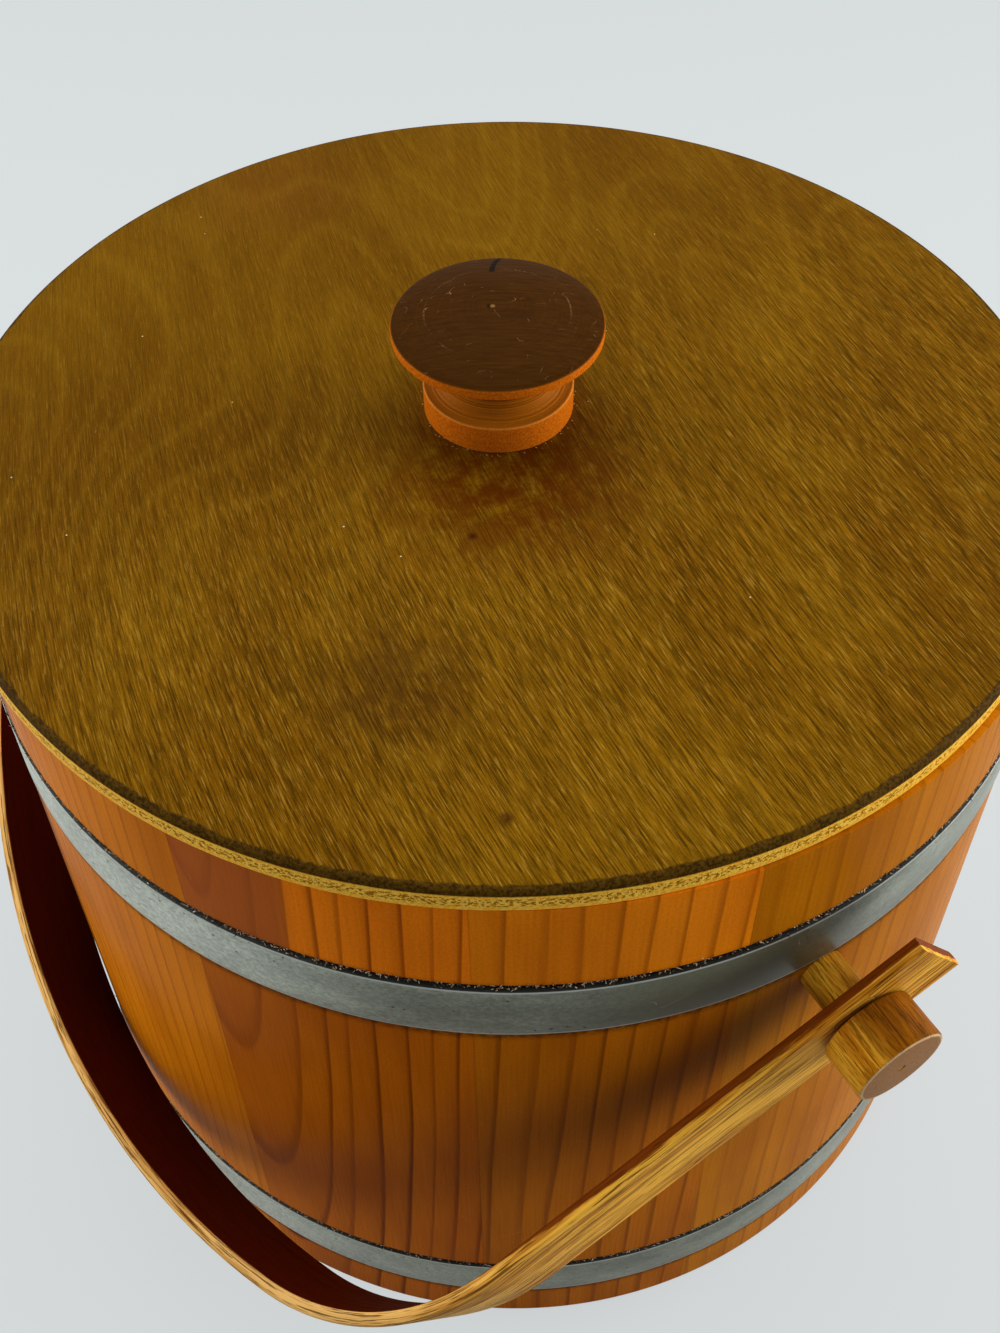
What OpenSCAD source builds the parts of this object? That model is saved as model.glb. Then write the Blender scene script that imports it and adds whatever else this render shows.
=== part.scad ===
// A wooden firkin: a coopered bucket of tapered staves held by two metal hoops,
// with a bottom set in a croze, a bentwood bail on two turned pegs and a
// plywood lid that lifts off by its turned knob.
// X runs through the two pegs, the bail hangs towards -Y, and the bucket
// stands on z = 0 with its axis on Z.

/* [Bucket] */
// Outside diameter across the top ends of the staves
mouth_d = 269.8; // [240:0.1:300]
// Outside diameter across the bottom ends of the staves
base_d = 285.6; // [250:0.1:310]
// Height of the staves
stave_h = 230.5; // [200:0.5:280]
// Thickness of the staves
stave_t = 9.5; // [7:0.1:14]
// How many staves make the bucket
stave_count = 14; // [10:1:20]
// How far a stave joint strays from even spacing, in degrees
stave_stray = 1.6; // [0:0.1:2.5]
// Direction of the first stave joint, in degrees from the right peg
first_joint_dir = -61.5; // [-70:0.5:-50]
// Bevel on the lower ends of the staves
stave_bevel = 1.2; // [0.2:0.1:2.5]

/* [Bottom] */
// Height of the croze, the groove that holds the bottom, above the table
croze_z = 9; // [6:0.5:14]
// Width of the croze
croze_w = 5.2; // [3:0.1:7]
// Depth of the croze
croze_depth = 3.2; // [1.5:0.1:4.5]
// Thickness of the bottom boards
bottom_t = 11; // [8:0.5:16]
// How far the boards reach below the croze
bottom_drop = 2; // [0:0.5:4]
// Width of the slope that thins each board towards the croze
bottom_feather = 5.5; // [3:0.5:10]
// Gap between the staves and the slope's lower edge
feather_gap = 1; // [0.5:0.1:2]
// Width of the middle board
middle_board_w = 96; // [60:1:140]
// Diameter of the dowels that join the boards
dowel_d = 6; // [4:0.5:7]
// Length of the dowels
dowel_len = 26; // [16:1:40]
// Distance of each dowel from the middle of its joint
dowel_spread = 62; // [30:1:90]
// Room left past each end of a dowel
dowel_room = 1; // [0.5:0.5:3]

/* [Hoops] */
// Width of the metal strap
hoop_w = 18.4; // [12:0.1:25]
// Thickness of the metal strap
hoop_t = 1.3; // [0.8:0.1:2]
// Height of the lower hoop's bottom edge
lower_hoop_z = 19; // [17:0.5:40]
// Height of the upper hoop's bottom edge
upper_hoop_z = 181.2; // [150:0.1:195]
// Depth of the groove that each hoop lies in
hoop_groove = 1.1; // [0.5:0.1:2]
// Open groove left above each hoop
hoop_relief = 2.4; // [0.5:0.1:5]
// Length of the riveted lap at the back
lap_len = 34; // [26:1:60]
// Direction of the laps, in degrees from the right peg
lap_dir = 144; // [100:1:170]
// Diameter of a rivet's shank
rivet_d = 4; // [2:0.1:5]
// Diameter of a rivet's head
rivet_head_d = 8; // [6:0.1:9]
// Height of a rivet's head
rivet_head_h = 1.7; // [1:0.1:3]
// Distance between the two rivets of a lap
rivet_pitch = 16; // [10:1:22]

/* [Pegs] */
// Diameter of the pegs' shanks
shank_d = 11.2; // [8:0.1:13]
// Diameter of the pegs' heads
peg_head_d = 22.6; // [16:0.1:28]
// Length of the pegs' heads
peg_head_len = 12.2; // [8:0.1:18]
// Wood left between the upper hoop and a peg's shank
peg_drop = 0.6; // [0.3:0.1:8]
// Round on the edges of a head
peg_round = 0.9; // [0.3:0.1:2]
// How far a shank's end stops short of the wall's inner face
shank_recess = 1; // [0.5:0.1:3]

/* [Bail] */
// Width of the bentwood strip
bail_w = 28.4; // [18:0.1:36]
// Thickness of the strip
bail_t = 3.5; // [2.5:0.1:5]
// Gap between the bucket and the strip at a peg
bail_side_gap = 11.1; // [6:0.1:18]
// How far the crown clears the lid's rim as it swings over, at mid-thickness
bail_clearance = 38.5; // [20:0.5:60]
// How far each leg closes in from its peg to its corner
bail_toe_in = 6; // [2:0.5:9]
// Radius of the bend at each corner, at mid-thickness
corner_r = 70; // [40:1:90]
// Radius of the crown, at mid-thickness
crown_r = 225; // [170:1:400]
// How far the strip runs on past a peg
bail_end = 22.5; // [15:0.5:35]
// Bevel along the edges of the strip
bail_bevel = 0.8; // [0.3:0.1:1.2]

/* [Lid] */
// How far the lid's rim stands out past the mouth
lid_overhang = 0.1; // [-2:0.1:5]
// Thickness of the lid
lid_t = 6.8; // [5:0.1:12]
// Radius of the worn top edge
lid_round = 2.2; // [0.5:0.1:3]
// Air under the lid, which lies loose on the ends of the staves
lid_air = 0.02; // [0:0.01:0.5]
// Thickness of the disc that locates the lid in the mouth
locator_t = 8; // [5:0.5:14]
// Side clearance of the disc in the mouth
locator_gap = 2.6; // [0.5:0.1:5]
// Share of that clearance by which the lid has slid to one side
lid_slip = 0.8; // [0:0.05:0.9]
// Direction in which the lid has slid, in degrees from the right peg
lid_slip_dir = 239; // [0:1:359]
// Bevel round the disc's lower edge
locator_bevel = 1; // [0.3:0.1:3]
// Number of screws that hold the disc
screw_count = 4; // [3:1:8]
// Diameter of the disc's screws
screw_d = 4; // [3:0.1:5]
// Length of the disc's screws
screw_len = 12.5; // [10:0.5:13]
// Distance of the screws from the disc's edge
screw_inset = 22; // [12:1:50]

/* [Knob] */
// Diameter of the knob's foot
knob_foot_d = 36.8; // [30:0.1:48]
// Height of the knob's foot
knob_foot_h = 6.2; // [4:0.1:8]
// Diameter of the knob's neck
knob_neck_d = 27; // [20:0.1:29]
// Diameter of the knob's rim
knob_rim_d = 50.5; // [40:0.1:60]
// Height of the knob's rim band
knob_rim_h = 2.9; // [2:0.1:5]
// Overall height of the knob
knob_h = 28.7; // [24:0.1:36]
// Rise of the knob's top from its edge to its middle
knob_dome = 4.4; // [0.5:0.1:6]
// Width of the beads turned on the knob
knob_bead = 1.1; // [0.6:0.1:1.5]
// How far the knob is fixed off the middle of the lid
knob_off = 4.2; // [0:0.1:8]
// Direction in which the knob is off the middle, in degrees from the right peg
knob_off_dir = 166; // [0:1:359]
// Diameter of the screw that holds the knob
knob_screw_d = 4.8; // [3.5:0.1:6]
// How far the knob's screw enters the knob
knob_screw_bite = 12; // [8:0.5:15]

/* [Fits] */
// Clearance round pieces that are glued or pressed home
snug = 0.1; // [0.05:0.01:0.2]
// Running clearance of the bail on a peg's shank
running = 0.08; // [0.03:0.01:0.1]
// Gap between the bail at rest and the bucket's side
rest_gap = 0.3; // [0.2:0.1:1]

/* [Hidden] */
$fn = 96;
slope = (base_d - mouth_d) / 2 / stave_h;
function wall_r(z) = base_d / 2 - slope * z;
function inside_r(z) = wall_r(z) - stave_t;
function pad(i) = i < 10 ? str("0", i) : str(i);
function stave_name(i) = str("stave_", pad(i));
// Joint i stands at a steady step plus a small stray, and the last meets the first.
function joint_dir(i) = first_joint_dir + i * 360 / stave_count
    + stave_stray * sin(3 * i * 360 / stave_count);
// Quarter round of radius r about centre c, from direction a0 to direction a1.
function arc(c, r, a0, a1, steps = 6) =
    [for (i = [0:steps]) c + r * [cos(a0 + (a1 - a0) * i / steps), sin(a0 + (a1 - a0) * i / steps)]];

peg_z = upper_hoop_z - peg_drop - shank_d / 2;
lid_d = mouth_d + 2 * lid_overhang;
lid_z = stave_h + lid_air;
lid_top = lid_z + lid_t;
knob_z = lid_top;
locator_r = inside_r(stave_h) - locator_gap;
locator_z = lid_z - locator_t;
knob_screw_len = locator_t + lid_t + knob_screw_bite;

bottom_z = croze_z - bottom_drop;
bottom_r = inside_r(croze_z) + croze_depth - snug - slope * croze_w;
tongue_r = inside_r(croze_z + croze_w) - feather_gap;
dowel_z = bottom_z + bottom_t / 2;

hoop_in = snug - hoop_groove;

// The bail's outline at mid-thickness: a leg that toes in, a corner bend and half the crown.
bail_half = wall_r(peg_z) + bail_side_gap + bail_t / 2;
shoulder_half = bail_half - bail_toe_in;
bail_depth = norm([lid_d / 2, lid_top - peg_z]) + bail_clearance;
function bend_turn(toe) = acos((shoulder_half - corner_r * cos(toe)) / (crown_r - corner_r));
function head_rise(toe) = crown_r - (crown_r - corner_r) * sin(bend_turn(toe)) - corner_r * sin(toe);
first_toe = atan(bail_toe_in / (bail_depth - head_rise(0)));
toe = atan(bail_toe_in / (bail_depth - head_rise(first_toe)));
leg_reach = bail_depth - head_rise(toe);
turn = bend_turn(toe);
corner_at = [shoulder_half - corner_r * cos(toe), -leg_reach + corner_r * sin(toe)];
crown_at = [0, -bail_depth + crown_r];
leg_len = leg_reach / cos(toe);
bend_steps = 14;
crown_steps = 20;
// The lean at which the crown's inner edge comes to the bucket's side.
lean_in = bail_depth - bail_t / 2;
lean_side = bail_w / 2 - bail_bevel;
lean_a = lean_in - slope * lean_side;
lean_b = lean_side + slope * lean_in;
bail_lean = atan2(lean_b, lean_a) + asin((wall_r(peg_z) + rest_gap) / norm([lean_a, lean_b]));

peg_head_x = bail_half + bail_t / 2 / cos(toe) + peg_head_d / 2 * tan(toe) + rest_gap;
peg_tip_x = inside_r(peg_z) + shank_recess;

lap_turn = lap_len / wall_r(upper_hoop_z) * 180 / PI;

stave_colours = ["chocolate", "peru", "sienna"];
wood = "peru";
oak = "goldenrod";
steel = "lightslategray";

// Half section of the wall, with the hoop grooves outside and the croze inside.
module stave_section() {
    lower_top = lower_hoop_z + hoop_w + hoop_relief;
    upper_top = upper_hoop_z + hoop_w + hoop_relief;
    croze_top = croze_z + croze_w;
    polygon([
        [inside_r(0) + stave_bevel, 0],
        [wall_r(0) - stave_bevel, 0],
        [wall_r(stave_bevel), stave_bevel],
        [wall_r(lower_hoop_z), lower_hoop_z],
        [wall_r(lower_hoop_z) - hoop_groove, lower_hoop_z],
        [wall_r(lower_top) - hoop_groove, lower_top],
        [wall_r(lower_top), lower_top],
        [wall_r(upper_hoop_z), upper_hoop_z],
        [wall_r(upper_hoop_z) - hoop_groove, upper_hoop_z],
        [wall_r(upper_top) - hoop_groove, upper_top],
        [wall_r(upper_top), upper_top],
        [wall_r(stave_h), stave_h],
        [inside_r(stave_h), stave_h],
        [inside_r(croze_top), croze_top],
        [inside_r(croze_top) + croze_depth, croze_top],
        [inside_r(croze_z) + croze_depth, croze_z],
        [inside_r(croze_z), croze_z],
        [inside_r(stave_bevel), stave_bevel]
    ]);
}

// Does the stave between joints i - 1 and i hold the peg that stands at direction a?
function holds_peg(i, a) = (a - joint_dir(i - 1) + 720) % 360 < joint_dir(i) - joint_dir(i - 1);

module peg_hole(a) {
    rotate([0, 0, a]) translate([peg_tip_x - stave_t, 0, peg_z]) rotate([0, 90, 0])
        cylinder(d = shank_d + 2 * snug, h = 3 * stave_t);
}

module stave(i) {
    color(stave_colours[i % 3])
    difference() {
        rotate_extrude(angle = joint_dir(i) - joint_dir(i - 1), start = joint_dir(i - 1))
            stave_section();
        if (holds_peg(i, 0)) peg_hole(0);
        if (holds_peg(i, 180)) peg_hole(180);
    }
}

// The whole bottom, feathered to the thin tongue that the croze grips.
module bottom_disc() {
    top = bottom_z + bottom_t;
    tongue_low = croze_z + snug;
    tongue_top = croze_z + croze_w - snug;
    feather = tongue_r - bottom_feather;
    rotate_extrude()
        polygon([
            [0, bottom_z],
            [feather, bottom_z],
            [tongue_r, tongue_low],
            [bottom_r, tongue_low],
            [bottom_r, tongue_top],
            [tongue_r, tongue_top],
            [feather, top],
            [0, top]
        ]);
}

module dowel_row(d, len) {
    for (x = [-dowel_spread, dowel_spread], side = [-1, 1])
        translate([x, side * middle_board_w / 2, dowel_z]) rotate([90, 0, 0])
            cylinder(d = d, h = len, center = true);
}

// One board: the part of the disc from y0 to y1, with its dowel holes.
module bottom_board(y0, y1) {
    color(wood)
    difference() {
        intersection() {
            bottom_disc();
            translate([-base_d / 2, y0, bottom_z]) cube([base_d, y1 - y0, bottom_t]);
        }
        dowel_row(dowel_d + 2 * snug, dowel_len + 2 * dowel_room);
    }
}

module bottom_board_front() {
    bottom_board(-base_d / 2, -middle_board_w / 2);
}

module bottom_board_middle() {
    bottom_board(-middle_board_w / 2, middle_board_w / 2);
}

module bottom_board_back() {
    bottom_board(middle_board_w / 2, base_d / 2);
}

module bottom_dowels() {
    color(oak) dowel_row(dowel_d, dowel_len);
}

// Section of the strap from one depth to another, leaning with the wall.
module strap_section(z, from, to) {
    top = z + hoop_w;
    polygon([
        [wall_r(z) + from, z],
        [wall_r(z) + to, z],
        [wall_r(top) + to, top],
        [wall_r(top) + from, top]
    ]);
}

// Puts its children at each rivet of a hoop, on the strap's inner face, pointing out.
module at_rivets(z) {
    mid = z + hoop_w / 2;
    r = wall_r(mid) + hoop_in;
    half_turn = rivet_pitch / 2 / r * 180 / PI;
    for (side = [-1, 1])
        rotate([0, 0, lap_dir + side * half_turn]) translate([r, 0, mid]) rotate([0, 90, 0])
            children();
}

// One ring of strap, with a second layer welded into it along the lap.
module hoop(z) {
    color(steel)
    difference() {
        union() {
            rotate_extrude() strap_section(z, hoop_in, hoop_in + hoop_t);
            rotate_extrude(start = lap_dir - lap_turn / 2, angle = lap_turn)
                strap_section(z, hoop_in + hoop_t / 2, hoop_in + 2 * hoop_t);
        }
        at_rivets(z) translate([0, 0, -hoop_t]) cylinder(d = rivet_d + 2 * snug, h = 5 * hoop_t);
    }
}

// A rivet: shank through both layers and a low domed head outside.
module hoop_rivets(z) {
    grip = 2 * hoop_t + snug;
    color("silver")
    at_rivets(z)
        rotate_extrude()
            polygon(concat(
                [[0, snug], [rivet_d / 2, snug], [rivet_d / 2, grip], [rivet_head_d / 2, grip]],
                [for (a = [20:14:90]) [rivet_head_d / 2 * cos(a), grip + rivet_head_h * sin(a)]]
            ));
}

module lower_hoop() {
    hoop(lower_hoop_z);
}

module lower_hoop_rivets() {
    hoop_rivets(lower_hoop_z);
}

module upper_hoop() {
    hoop(upper_hoop_z);
}

module upper_hoop_rivets() {
    hoop_rivets(upper_hoop_z);
}

// A turned peg: a shank glued in its stave and a plain round head outside the bail.
module peg() {
    shank_len = peg_head_x - peg_tip_x;
    head_r = peg_head_d / 2;
    end = shank_len + peg_head_len;
    color(oak)
    translate([peg_tip_x, 0, peg_z]) rotate([0, 90, 0])
        rotate_extrude()
            polygon(concat(
                [[0, 0], [shank_d / 2, 0], [shank_d / 2, shank_len]],
                arc([head_r - peg_round, shank_len + peg_round], peg_round, -90, 0),
                arc([head_r - peg_round, end - peg_round], peg_round, 0, 90),
                [[0, end]]
            ));
}

module right_peg() {
    peg();
}

module left_peg() {
    rotate([0, 0, 180]) peg();
}

// Section of the bentwood strip, thickness on X and width on Y, with its edges eased.
function strip_section() =
    let (x = bail_t / 2, y = bail_w / 2, b = bail_bevel)
    [[b - x, -y], [x - b, -y], [x, b - y], [x, y - b], [x - b, y], [b - x, y], [-x, y - b], [-x, b - y]];

// Stations along the mid-thickness line: x, y and the direction that faces outwards.
function bend_stations(c, r, a0, a1, steps) =
    [for (i = [0:steps]) let (a = a0 + (a1 - a0) * i / steps) [c.x + r * cos(a), c.y + r * sin(a), a]];
function side_stations() = concat(
    [[shoulder_half + (leg_len + bail_end) * sin(toe), -leg_reach + (leg_len + bail_end) * cos(toe), -toe]],
    bend_stations(corner_at, corner_r, -toe, -turn, bend_steps)
);
function mirrored(stations) =
    [for (i = [len(stations) - 1:-1:0]) [-stations[i].x, stations[i].y, 180 - stations[i].z]];
function crown_stations() =
    let (s = bend_stations(crown_at, crown_r, -turn, turn - 180, crown_steps))
    [for (i = [1:len(s) - 2]) s[i]];

// The strip swept along its stations, one ring of section corners at each.
module bent_strip(stations) {
    section = strip_section();
    n = len(section);
    last = len(stations) - 1;
    points = [for (s = stations, p = section) [s.x + p.x * cos(s.z), s.y + p.x * sin(s.z), p.y]];
    sides = [for (k = [0:last - 1], j = [0:n - 1])
        [k * n + j, k * n + (j + 1) % n, (k + 1) * n + (j + 1) % n, (k + 1) * n + j]];
    ends = [[for (j = [n - 1:-1:0]) j], [for (j = [0:n - 1]) last * n + j]];
    polyhedron(points, concat(sides, ends), convexity = 6);
}

module bail() {
    color(oak)
    translate([0, 0, peg_z]) rotate([90 - bail_lean, 0, 0])
        difference() {
            bent_strip(concat(side_stations(), crown_stations(), mirrored(side_stations())));
            rotate([0, 90, 0])
                cylinder(d = shank_d + 2 * running, h = 3 * bail_half, center = true);
        }
}

// A countersunk wood screw standing on its head, which is twice as wide as its shank
// and has its slot left open when slot is true.
module wood_screw(d, len, grow = 0, slot = true) {
    r = d / 2 + grow;
    head_r = d + grow;
    cone = head_r - r;
    slot_w = d / 4;
    difference() {
        rotate_extrude()
            polygon([[0, 0], [head_r, 0], [r, cone], [r, len - d + grow], [0, len + grow]]);
        if (slot)
            translate([-2 * d, -slot_w / 2, -cone / 2]) cube([4 * d, slot_w, cone]);
    }
}

// Puts its children where the lid's centre is, and where the knob's is.
module at_lid() {
    slip = lid_slip * locator_gap;
    translate([slip * cos(lid_slip_dir), slip * sin(lid_slip_dir), 0]) children();
}

module at_knob() {
    at_lid() translate([knob_off * cos(knob_off_dir), knob_off * sin(knob_off_dir), 0]) children();
}

module at_locator_screws() {
    at_lid()
        for (i = [0:screw_count - 1])
            rotate([0, 0, 45 + i * 360 / screw_count])
                translate([locator_r - screw_inset, 0, locator_z]) children();
}

module screw_holes() {
    at_locator_screws() wood_screw(screw_d, screw_len, snug, false);
    at_knob() translate([0, 0, locator_z])
        wood_screw(knob_screw_d, knob_screw_len, snug, false);
}

module locator_screws() {
    color("darkgoldenrod") at_locator_screws() wood_screw(screw_d, screw_len);
}

// The plywood lid, its top edge worn round.
module lid_board() {
    r = lid_d / 2;
    color("darkkhaki")
    difference() {
        at_lid() translate([0, 0, lid_z])
            rotate_extrude()
                polygon(concat(
                    [[0, 0], [r - snug, 0], [r, snug]],
                    arc([r - lid_round, lid_t - lid_round], lid_round, 0, 90),
                    [[0, lid_t]]
                ));
        screw_holes();
    }
}

module lid_locator() {
    color("burlywood")
    difference() {
        at_lid() translate([0, 0, locator_z])
            rotate_extrude()
                polygon([[0, 0], [locator_r - locator_bevel, 0], [locator_r, locator_bevel],
                         [locator_r, locator_t], [0, locator_t]]);
        screw_holes();
    }
}

// The turned knob: a foot, a hollow neck, and a rim band under a domed top.
module knob() {
    foot_r = knob_foot_d / 2;
    neck_r = knob_neck_d / 2;
    rim_r = knob_rim_d / 2;
    rim_low = knob_h - knob_rim_h - knob_dome;
    cove_h = rim_low - knob_foot_h - 2 * knob_bead;
    cove_z = knob_foot_h + knob_bead;
    low_end_r = foot_r - 2 * knob_bead;
    high_end_r = rim_r - 3 * knob_bead;
    edge = knob_bead / 2;
    color("saddlebrown")
    difference() {
        at_knob() translate([0, 0, knob_z])
            rotate_extrude()
                polygon(concat(
                    [[0, 0], [foot_r, 0]],
                    arc([foot_r - knob_bead, knob_foot_h - knob_bead], knob_bead, 0, 90, 4),
                    [for (i = [0:12]) let (a = 180 * i / 12, end_r = i < 6 ? low_end_r : high_end_r)
                        [neck_r + (end_r - neck_r) * (1 - sin(a)), cove_z + cove_h * (1 - cos(a)) / 2]],
                    [[rim_r - 2 * knob_bead, rim_low], [rim_r - edge, rim_low],
                     [rim_r, rim_low + edge]],
                    arc([rim_r - edge, knob_h - knob_dome - edge], edge, 0, 90, 4),
                    [for (f = [0.85:-0.15:0.1]) [rim_r * f, knob_h - knob_dome * f * f]],
                    [[0, knob_h]]
                ));
        at_knob() translate([0, 0, locator_z])
            wood_screw(knob_screw_d, knob_screw_len, snug, false);
    }
}

module knob_screw() {
    color("darkgoldenrod")
    at_knob() translate([0, 0, locator_z]) wood_screw(knob_screw_d, knob_screw_len);
}

for (i = [1:stave_count])
    stave(i);
bottom_board_front();
bottom_board_middle();
bottom_board_back();
bottom_dowels();
lower_hoop();
lower_hoop_rivets();
upper_hoop();
upper_hoop_rivets();
right_peg();
left_peg();
bail();
lid_board();
lid_locator();
locator_screws();
knob();
knob_screw();
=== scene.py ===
# %% [markdown]
# # A wooden firkin
# This lesson dresses a coopered bucket: tapered staves held by two metal hoops, a
# bentwood bail on two turned pegs, and a plywood lid with a turned knob. The solids
# come ready made, in metres, with +Z up and +X through the right peg. Here each
# visible piece gets its fine shape and its finish.

# %% Load the solids
import math
import random

import bmesh
import bpy
import numpy as np
from mathutils import Matrix, Vector


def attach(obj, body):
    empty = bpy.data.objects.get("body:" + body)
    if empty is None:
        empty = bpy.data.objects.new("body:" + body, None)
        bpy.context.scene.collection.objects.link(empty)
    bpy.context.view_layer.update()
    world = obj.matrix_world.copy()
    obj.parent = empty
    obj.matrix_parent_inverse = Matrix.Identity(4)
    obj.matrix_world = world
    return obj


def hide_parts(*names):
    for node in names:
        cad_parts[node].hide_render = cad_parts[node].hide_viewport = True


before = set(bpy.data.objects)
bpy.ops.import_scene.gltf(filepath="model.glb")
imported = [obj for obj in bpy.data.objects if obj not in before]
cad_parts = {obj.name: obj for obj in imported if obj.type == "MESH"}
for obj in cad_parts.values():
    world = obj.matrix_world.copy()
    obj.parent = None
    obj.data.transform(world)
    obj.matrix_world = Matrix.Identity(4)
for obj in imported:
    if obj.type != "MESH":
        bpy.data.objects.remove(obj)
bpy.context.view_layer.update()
MM, TO_MM = 0.001, (1000.0, 1000.0, 1000.0)

# %% [markdown]
# ## The bench
# Every finish below is a tree of nodes, and so is every shape that follows a rule.
# Trees could be wired one link at a time, but that hides the idea. One small class
# holds a tree and adds a step to it, and a step's inputs may be plain values or the
# outputs of earlier steps.


# %% A bench for node trees
class Bench:
    """One node tree, with a short method for each common kind of step."""

    def __init__(self, tree):
        self.tree = tree

    def put(self, kind, inputs=(), **settings):
        made = self.tree.nodes.new(kind)
        for key, value in settings.items():
            setattr(made, key, value)
        for key, value in dict(inputs).items():
            if isinstance(value, bpy.types.NodeSocket):
                self.tree.links.new(value, made.inputs[key])
            else:
                made.inputs[key].default_value = value
        return made

    def shape(self, kind, inputs=(), **settings):
        return self.put("GeometryNode" + kind, inputs, **settings).outputs[0]

    def calc(self, operation, a, b=0.0, c=0.0):
        return self.put("ShaderNodeMath", {0: a, 1: b, 2: c}, operation=operation).outputs[0]

    def times(self, a, b):
        return self.calc("MULTIPLY", a, b)

    def plus(self, a, b):
        return self.calc("ADD", a, b)

    def minus(self, a, b):
        return self.calc("SUBTRACT", a, b)

    def most(self, a, b):
        return self.calc("MAXIMUM", a, b)

    def apart(self, a, b):
        """How far two numbers are apart."""
        return self.calc("ABSOLUTE", self.minus(a, b))

    def slant(self, a, b):
        """The long side of a right angle with the sides a and b."""
        return self.calc("SQRT", self.plus(self.calc("POWER", a, 2.0), self.calc("POWER", b, 2.0)))

    def distance(self, a, b):
        """How far two points are apart."""
        return self.put("ShaderNodeVectorMath", {0: a, 1: b}, operation="DISTANCE").outputs["Value"]

    def turn(self, operation, a, b=(0.0, 0.0, 0.0)):
        return self.put("ShaderNodeVectorMath", {0: a, 1: b}, operation=operation).outputs[0]

    def split(self, vector):
        return self.put("ShaderNodeSeparateXYZ", {0: vector}).outputs

    def join(self, x=0.0, y=0.0, z=0.0):
        return self.put("ShaderNodeCombineXYZ", {0: x, 1: y, 2: z}).outputs[0]

    def span(self, value, low, high, to_low=0.0, to_high=1.0, smooth=True):
        kind = "SMOOTHSTEP" if smooth else "LINEAR"
        return self.put("ShaderNodeMapRange",
                        {0: value, 1: low, 2: high, 3: to_low, 4: to_high},
                        interpolation_type=kind).outputs[0]

    def spread(self, place, *scales):
        """A place with each part scaled, so that a pattern stretches along the grain."""
        return self.join(*[self.times(part, scale) for part, scale in zip(place, scales)])

    def grain(self, place, scales, *looks):
        """Noise that is stretched along the grain."""
        return self.noise(self.spread(place, *scales), 1.0, *looks)

    def noise(self, at, scale=1.0, detail=2.0, rough=0.5, warp=0.0):
        return self.put("ShaderNodeTexNoise", {"Vector": at, "Scale": scale, "Detail": detail,
                                               "Roughness": rough, "Distortion": warp}).outputs[0]

    def mix(self, share, a, b, how="MIX"):
        made = self.put("ShaderNodeMix", {0: share}, data_type="RGBA", blend_type=how)
        for place, colour in ((6, a), (7, b)):
            if isinstance(colour, bpy.types.NodeSocket):
                self.tree.links.new(colour, made.inputs[place])
            else:
                made.inputs[place].default_value = colour
        return made.outputs[2]

    def ramp(self, value, stops):
        """Greys between the stops, each a place and a grey."""
        made = self.put("ShaderNodeValToRGB", {0: value})
        line = made.color_ramp.elements
        while len(line) < len(stops):
            line.new(1.0)
        for mark, (place, grey) in zip(line, stops):
            mark.position = place
            mark.color = (grey, grey, grey, 1.0)
        return made.outputs[0]

    def spots(self, at, size, share):
        """Small round spots, 1 inside: a share of the cells of a Voronoi pattern has one."""
        made = self.put("ShaderNodeTexVoronoi", {"Vector": at, "Scale": 1 / size})
        chosen = self.calc("LESS_THAN", self.split(made.outputs["Color"])[0], share)
        return self.times(chosen, self.span(made.outputs["Distance"], 0.28, 0.16))

    def scratches(self, at, scale, thin=0.004, rare=0.62):
        """Thin curved lines: the places where a noise is exactly at its middle, cut short."""
        line = self.apart(self.noise(at, scale, 0.0), 0.5)
        cut = self.noise(self.turn("ADD", at, (7.3, 1.9, 4.1)), scale * 1.7, 0.0)
        return self.times(self.span(line, thin, 0.0), self.span(cut, rare, rare + 0.04))


def paint(red, green, blue):
    """A colour as a picture shows it, 0 to 255, turned into the light that it reflects."""
    light = [c / 255 / 12.92 if c <= 10 else ((c / 255 + 0.055) / 1.055) ** 2.4
             for c in (red, green, blue)]
    return (*light, 1.0)


# %% [markdown]
# ## Making shapes
# Turned pieces, such as the knob, come from a half outline that is spun round the
# lathe's axis. Pieces that follow a rule come from a Geometry Nodes tree that runs
# once and is then kept as a plain mesh, so that nothing later depends on it.


# %% Helpers for shapes
def keep(name, mesh, body, material, replaced, sharp=35):
    """Makes the finished object: faces outwards, smooth but for its sharp edges, on its body."""
    work = bmesh.new()
    work.from_mesh(mesh)
    bmesh.ops.remove_doubles(work, verts=work.verts, dist=2e-6)
    bmesh.ops.recalc_face_normals(work, faces=work.faces)
    work.to_mesh(mesh)
    volume = work.calc_volume(signed=True)
    work.free()
    mesh.shade_smooth()
    mesh.set_sharp_from_angle(angle=math.radians(sharp))
    mesh.name = name
    mesh.materials.clear()
    mesh.materials.append(material)
    made = bpy.data.objects.new(name, mesh)
    bpy.context.scene.collection.objects.link(made)
    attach(made, body)
    if replaced:
        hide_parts(*replaced)
    print(f"{name}: {len(mesh.polygons)} faces, {volume * 1e6:.2f} cm3")
    return made


def turned(outline, steps=144):
    """Spins a half outline of (radius, height) points in mm round Z."""
    mesh = bpy.data.meshes.new("turned")
    points, faces, rings = [], [], []
    for radius, height in outline:
        if radius < 1e-6:
            rings.append([len(points)] * steps)
            points.append((0, 0, height * MM))
            continue
        rings.append(list(range(len(points), len(points) + steps)))
        points += [(radius * MM * math.cos(math.tau * k / steps),
                    radius * MM * math.sin(math.tau * k / steps), height * MM)
                   for k in range(steps)]
    for low, high in zip(rings, rings[1:]):
        for k in range(steps):
            corners = [low[k], low[(k + 1) % steps], high[(k + 1) % steps], high[k]]
            faces.append([c for n, c in enumerate(corners) if c not in corners[:n]])
    mesh.from_pydata(points, [], faces)
    return mesh


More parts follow.
